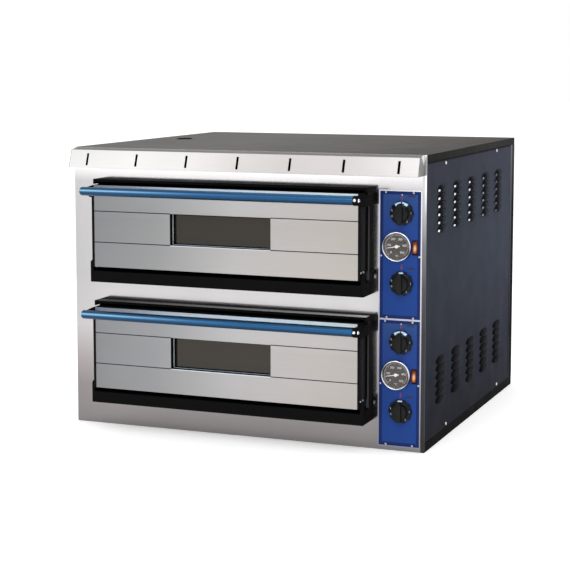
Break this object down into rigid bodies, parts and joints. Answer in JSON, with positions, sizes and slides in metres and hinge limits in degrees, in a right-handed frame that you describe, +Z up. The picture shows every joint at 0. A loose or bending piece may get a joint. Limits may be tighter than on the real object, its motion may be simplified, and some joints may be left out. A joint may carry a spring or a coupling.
{
  "type": "countertop pizza oven",
  "caption": "Double-deck electric countertop pizza oven: stacked stone-floored chambers with drop-down glazed doors and a side control column.",
  "frame": {"origin": "centre of the flat underside of the oven's body", "axes": "+Z up, the doors face -Y, +X towards the control column"},
  "size_m": [0.98, 1.0563, 0.745],
  "materials": {
    "fascia_steel": "fine satin brushing, pale",
    "hood_steel": "fine satin brushing, bright",
    "door_steel": "horizontal brushing, warm grey",
    "liner_steel": "dull, heat stained",
    "side_paint": "fine textured dark blue-grey powder coat",
    "lid_metal": "satin dark grey",
    "black_paint": "satin black",
    "black_enamel": "semi-gloss black",
    "panel_blue": "satin blue print on steel",
    "handle_blue": "blue anodised, polished",
    "black_plastic": "moulded black",
    "amber_plastic": "translucent amber, lit",
    "needle_white": "matt white",
    "chrome": "polished",
    "plated_steel": "zinc plated",
    "element_sheath": "oxidised dark",
    "smoked_glass": "tempered, dark",
    "lamp_glass": "heat-proof lamp lens",
    "mineral_wool": "matt fibre",
    "fire_clay": "unglazed refractory"
  },
  "bodies": {
    "oven_body": {"base_tray": "black_paint", "front_fascia": "fascia_steel", "left_side_panel": "side_paint", "right_side_panel": "side_paint", "back_panel": "side_paint", "cable_gland": "black_plastic", "top_panel": "lid_metal", "steam_outlet": "liner_steel", "front_hood": "hood_steel", "lower_chamber_liner": "liner_steel", "lower_insulation": "mineral_wool", "lower_baking_stone": "fire_clay", "lower_floor_element": "element_sheath", "lower_ceiling_element": "element_sheath", "lower_chamber_lamp": "lamp_glass", "lower_door_surround": "black_enamel", "lower_hinge_rod": "plated_steel", "lower_control_panel": "panel_blue", "lower_floor_heat_thermostat": "plated_steel", "lower_ceiling_heat_thermostat": "plated_steel", "lower_thermometer": "chrome", "upper_chamber_liner": "liner_steel", "upper_insulation": "mineral_wool", "upper_baking_stone": "fire_clay", "upper_floor_element": "element_sheath", "upper_ceiling_element": "element_sheath", "upper_chamber_lamp": "lamp_glass", "upper_door_surround": "black_enamel", "upper_hinge_rod": "plated_steel", "upper_control_panel": "panel_blue", "upper_floor_heat_thermostat": "plated_steel", "upper_ceiling_heat_thermostat": "plated_steel", "upper_thermometer": "chrome"},
    "lower_door": {"lower_door_frame": "black_enamel", "lower_door_front_panel": "door_steel", "lower_door_insulation": "mineral_wool", "lower_door_inner_panel": "liner_steel", "lower_window_rim": "black_enamel", "lower_door_glass": "smoked_glass", "lower_handle_bar": "handle_blue", "lower_handle_arm_left": "black_enamel", "lower_handle_arm_right": "black_enamel"},
    "lower_floor_heat_knob": {"lower_floor_heat_knob": "black_plastic"},
    "lower_ceiling_heat_knob": {"lower_ceiling_heat_knob": "black_plastic"},
    "lower_thermometer_needle": {"lower_thermometer_needle": "needle_white"},
    "lower_power_rocker": {"lower_power_rocker": "amber_plastic"},
    "upper_door": {"upper_door_frame": "black_enamel", "upper_door_front_panel": "door_steel", "upper_door_insulation": "mineral_wool", "upper_door_inner_panel": "liner_steel", "upper_window_rim": "black_enamel", "upper_door_glass": "smoked_glass", "upper_handle_bar": "handle_blue", "upper_handle_arm_left": "black_enamel", "upper_handle_arm_right": "black_enamel"},
    "upper_floor_heat_knob": {"upper_floor_heat_knob": "black_plastic"},
    "upper_ceiling_heat_knob": {"upper_ceiling_heat_knob": "black_plastic"},
    "upper_thermometer_needle": {"upper_thermometer_needle": "needle_white"},
    "upper_power_rocker": {"upper_power_rocker": "amber_plastic"}
  },
  "joints": [
    {"name": "lower_door_hinge", "type": "hinge", "parent": "oven_body", "child": "lower_door", "pos_m": [0, -0.5125, 0.12], "axis": [1, 0, 0], "range_deg": [0, 90]},
    {"name": "lower_floor_heat_turn", "type": "hinge", "parent": "oven_body", "child": "lower_floor_heat_knob", "pos_m": [0.428, -0.455, 0.102], "axis": [0, 1, 0], "range_deg": [0, 270]},
    {"name": "lower_ceiling_heat_turn", "type": "hinge", "parent": "oven_body", "child": "lower_ceiling_heat_knob", "pos_m": [0.428, -0.455, 0.277], "axis": [0, 1, 0], "range_deg": [0, 270]},
    {"name": "lower_needle_sweep", "type": "hinge", "parent": "oven_body", "child": "lower_thermometer_needle", "pos_m": [0.416, -0.455, 0.194], "axis": [0, 1, 0], "range_deg": [0, 235]},
    {"name": "lower_rocker_tip", "type": "hinge", "parent": "oven_body", "child": "lower_power_rocker", "pos_m": [0.463, -0.456, 0.1925], "axis": [1, 0, 0], "range_deg": [0, 16]},
    {"name": "upper_door_hinge", "type": "hinge", "parent": "oven_body", "child": "upper_door", "pos_m": [0, -0.5125, 0.443], "axis": [1, 0, 0], "range_deg": [0, 90]},
    {"name": "upper_floor_heat_turn", "type": "hinge", "parent": "oven_body", "child": "upper_floor_heat_knob", "pos_m": [0.428, -0.455, 0.425], "axis": [0, 1, 0], "range_deg": [0, 270]},
    {"name": "upper_ceiling_heat_turn", "type": "hinge", "parent": "oven_body", "child": "upper_ceiling_heat_knob", "pos_m": [0.428, -0.455, 0.6], "axis": [0, 1, 0], "range_deg": [0, 270]},
    {"name": "upper_needle_sweep", "type": "hinge", "parent": "oven_body", "child": "upper_thermometer_needle", "pos_m": [0.416, -0.455, 0.517], "axis": [0, 1, 0], "range_deg": [0, 235]},
    {"name": "upper_rocker_tip", "type": "hinge", "parent": "oven_body", "child": "upper_power_rocker", "pos_m": [0.463, -0.456, 0.5155], "axis": [1, 0, 0], "range_deg": [0, 16]}
  ]
}
